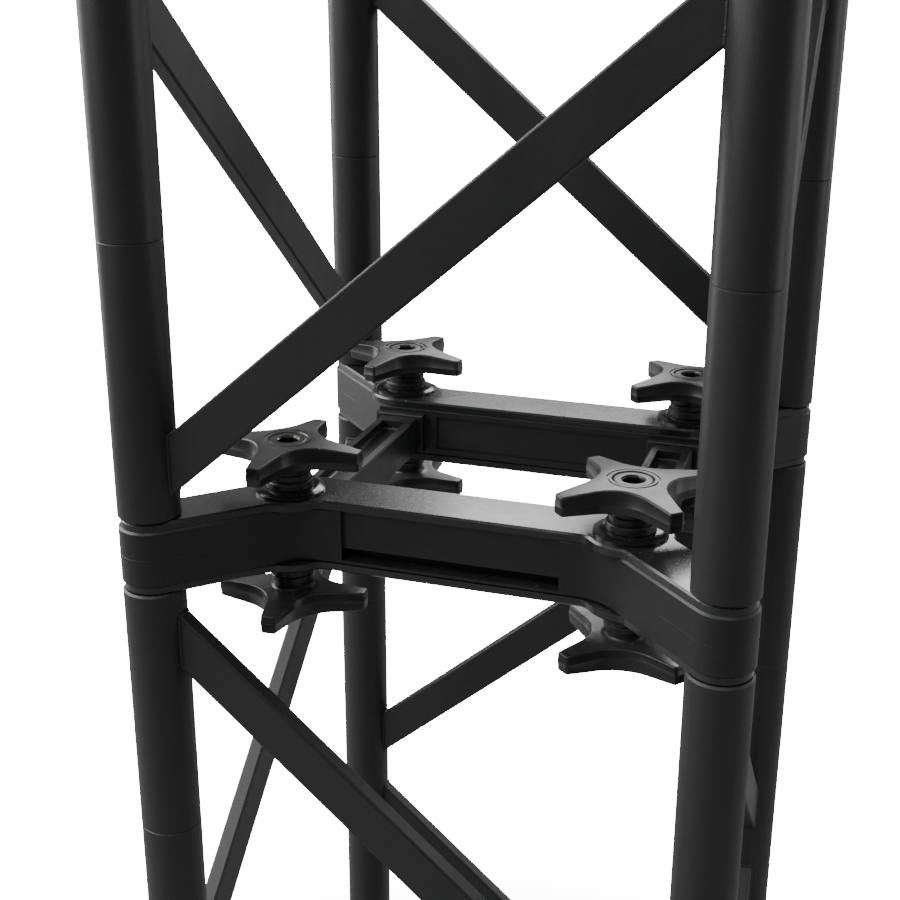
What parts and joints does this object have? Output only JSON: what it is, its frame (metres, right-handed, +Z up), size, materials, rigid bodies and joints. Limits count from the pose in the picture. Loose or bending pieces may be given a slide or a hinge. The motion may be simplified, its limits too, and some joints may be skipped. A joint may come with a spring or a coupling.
{
  "type": "lighting truss section",
  "caption": "Square box truss of round chords and flat diagonal braces, split by a coupling frame that paired star knobs clamp between two modules.",
  "frame": {"origin": "centre of the footprint, on the face of the lowest end plates", "axes": "+Z up the truss along its length, front bow towards -Y, +X to the right seen from the front"},
  "size_m": [0.254, 0.254, 0.932],
  "materials": {
    "truss_paint": "satin black powder coat on welded aluminium tube and flat bar",
    "coupling_paint": "satin black powder coat on cast aluminium",
    "plate_paint": "semi-gloss black powder coat with a fine orange peel",
    "knob_plastic": "satin black glass-filled plastic",
    "washer_nylon": "glossy black nylon",
    "bolt_steel": "black oxide steel, lightly oiled",
    "insert_steel": "zinc plated steel",
    "sleeve_aluminium": "bare drawn tube"
  },
  "bodies": {
    "truss": {"coupling_bracket_back": "coupling_paint", "coupling_bracket_front": "coupling_paint", "coupling_side_bar_left": "coupling_paint", "coupling_side_bar_right": "coupling_paint", "lower_bottom_end_plates": "plate_paint", "lower_brace_back_1": "truss_paint", "lower_brace_back_2": "truss_paint", "lower_brace_front_1": "truss_paint", "lower_brace_front_2": "truss_paint", "lower_brace_left_1": "truss_paint", "lower_brace_left_2": "truss_paint", "lower_brace_right_1": "truss_paint", "lower_brace_right_2": "truss_paint", "lower_chord_back_left": "truss_paint", "lower_chord_back_right": "truss_paint", "lower_chord_front_left": "truss_paint", "lower_chord_front_right": "truss_paint", "lower_end_stubs": "truss_paint", "lower_seam_sleeves": "sleeve_aluminium", "lower_top_end_plates": "plate_paint", "upper_bottom_end_plates": "plate_paint", "upper_brace_back_1": "truss_paint", "upper_brace_back_2": "truss_paint", "upper_brace_front_1": "truss_paint", "upper_brace_front_2": "truss_paint", "upper_brace_left_1": "truss_paint", "upper_brace_left_2": "truss_paint", "upper_brace_right_1": "truss_paint", "upper_brace_right_2": "truss_paint", "upper_chord_back_left": "truss_paint", "upper_chord_back_right": "truss_paint", "upper_chord_front_left": "truss_paint", "upper_chord_front_right": "truss_paint", "upper_end_stubs": "truss_paint", "upper_seam_sleeves": "sleeve_aluminium", "upper_top_end_plates": "plate_paint"},
    "upper_washer_front_left": {"upper_washer_front_left": "washer_nylon"},
    "upper_knob_front_left": {"upper_knob_front_left": "knob_plastic", "clamp_bolt_front_left": "bolt_steel"},
    "lower_washer_front_left": {"lower_washer_front_left": "washer_nylon"},
    "lower_knob_front_left": {"lower_knob_front_left": "knob_plastic", "threaded_insert_front_left": "insert_steel"},
    "upper_washer_front_right": {"upper_washer_front_right": "washer_nylon"},
    "upper_knob_front_right": {"upper_knob_front_right": "knob_plastic", "clamp_bolt_front_right": "bolt_steel"},
    "lower_washer_front_right": {"lower_washer_front_right": "washer_nylon"},
    "lower_knob_front_right": {"lower_knob_front_right": "knob_plastic", "threaded_insert_front_right": "insert_steel"},
    "upper_washer_back_right": {"upper_washer_back_right": "washer_nylon"},
    "upper_knob_back_right": {"upper_knob_back_right": "knob_plastic", "clamp_bolt_back_right": "bolt_steel"},
    "lower_washer_back_right": {"lower_washer_back_right": "washer_nylon"},
    "lower_knob_back_right": {"lower_knob_back_right": "knob_plastic", "threaded_insert_back_right": "insert_steel"},
    "upper_washer_back_left": {"upper_washer_back_left": "washer_nylon"},
    "upper_knob_back_left": {"upper_knob_back_left": "knob_plastic", "clamp_bolt_back_left": "bolt_steel"},
    "lower_washer_back_left": {"lower_washer_back_left": "washer_nylon"},
    "lower_knob_back_left": {"lower_knob_back_left": "knob_plastic", "threaded_insert_back_left": "insert_steel"}
  },
  "joints": [
    {"name": "upper_lift_front_left", "type": "slide", "parent": "truss", "child": "upper_washer_front_left", "axis": [0, 0, 1], "range_m": [0, 0.0045]},
    {"name": "upper_turn_front_left", "type": "hinge", "parent": "upper_washer_front_left", "child": "upper_knob_front_left", "pos_m": [-0.07216, -0.07216, 0.4815], "axis": [0, 0, 1], "range_deg": [0, 1080]},
    {"name": "lower_lift_front_left", "type": "slide", "parent": "truss", "child": "lower_washer_front_left", "axis": [0, 0, -1], "range_m": [0, 0.0045]},
    {"name": "lower_turn_front_left", "type": "hinge", "parent": "lower_washer_front_left", "child": "lower_knob_front_left", "pos_m": [-0.07216, -0.07216, 0.4505], "axis": [0, 0, -1], "range_deg": [0, 1080]},
    {"name": "upper_lift_front_right", "type": "slide", "parent": "truss", "child": "upper_washer_front_right", "axis": [0, 0, 1], "range_m": [0, 0.0045]},
    {"name": "upper_turn_front_right", "type": "hinge", "parent": "upper_washer_front_right", "child": "upper_knob_front_right", "pos_m": [0.07216, -0.07216, 0.4815], "axis": [0, 0, 1], "range_deg": [0, 1080]},
    {"name": "lower_lift_front_right", "type": "slide", "parent": "truss", "child": "lower_washer_front_right", "axis": [0, 0, -1], "range_m": [0, 0.0045]},
    {"name": "lower_turn_front_right", "type": "hinge", "parent": "lower_washer_front_right", "child": "lower_knob_front_right", "pos_m": [0.07216, -0.07216, 0.4505], "axis": [0, 0, -1], "range_deg": [0, 1080]},
    {"name": "upper_lift_back_right", "type": "slide", "parent": "truss", "child": "upper_washer_back_right", "axis": [0, 0, 1], "range_m": [0, 0.0045]},
    {"name": "upper_turn_back_right", "type": "hinge", "parent": "upper_washer_back_right", "child": "upper_knob_back_right", "pos_m": [0.07216, 0.07216, 0.4815], "axis": [0, 0, 1], "range_deg": [0, 1080]},
    {"name": "lower_lift_back_right", "type": "slide", "parent": "truss", "child": "lower_washer_back_right", "axis": [0, 0, -1], "range_m": [0, 0.0045]},
    {"name": "lower_turn_back_right", "type": "hinge", "parent": "lower_washer_back_right", "child": "lower_knob_back_right", "pos_m": [0.07216, 0.07216, 0.4505], "axis": [0, 0, -1], "range_deg": [0, 1080]},
    {"name": "upper_lift_back_left", "type": "slide", "parent": "truss", "child": "upper_washer_back_left", "axis": [0, 0, 1], "range_m": [0, 0.0045]},
    {"name": "upper_turn_back_left", "type": "hinge", "parent": "upper_washer_back_left", "child": "upper_knob_back_left", "pos_m": [-0.07216, 0.07216, 0.4815], "axis": [0, 0, 1], "range_deg": [0, 1080]},
    {"name": "lower_lift_back_left", "type": "slide", "parent": "truss", "child": "lower_washer_back_left", "axis": [0, 0, -1], "range_m": [0, 0.0045]},
    {"name": "lower_turn_back_left", "type": "hinge", "parent": "lower_washer_back_left", "child": "lower_knob_back_left", "pos_m": [-0.07216, 0.07216, 0.4505], "axis": [0, 0, -1], "range_deg": [0, 1080]}
  ],
  "couplings": [
    {"joint": "upper_turn_front_left", "follows": "upper_lift_front_left", "rad_per_m": 4188.8},
    {"joint": "lower_turn_front_left", "follows": "lower_lift_front_left", "rad_per_m": 4188.8},
    {"joint": "upper_turn_front_right", "follows": "upper_lift_front_right", "rad_per_m": 4188.8},
    {"joint": "lower_turn_front_right", "follows": "lower_lift_front_right", "rad_per_m": 4188.8},
    {"joint": "upper_turn_back_right", "follows": "upper_lift_back_right", "rad_per_m": 4188.8},
    {"joint": "lower_turn_back_right", "follows": "lower_lift_back_right", "rad_per_m": 4188.8},
    {"joint": "upper_turn_back_left", "follows": "upper_lift_back_left", "rad_per_m": 4188.8},
    {"joint": "lower_turn_back_left", "follows": "lower_lift_back_left", "rad_per_m": 4188.8}
  ]
}
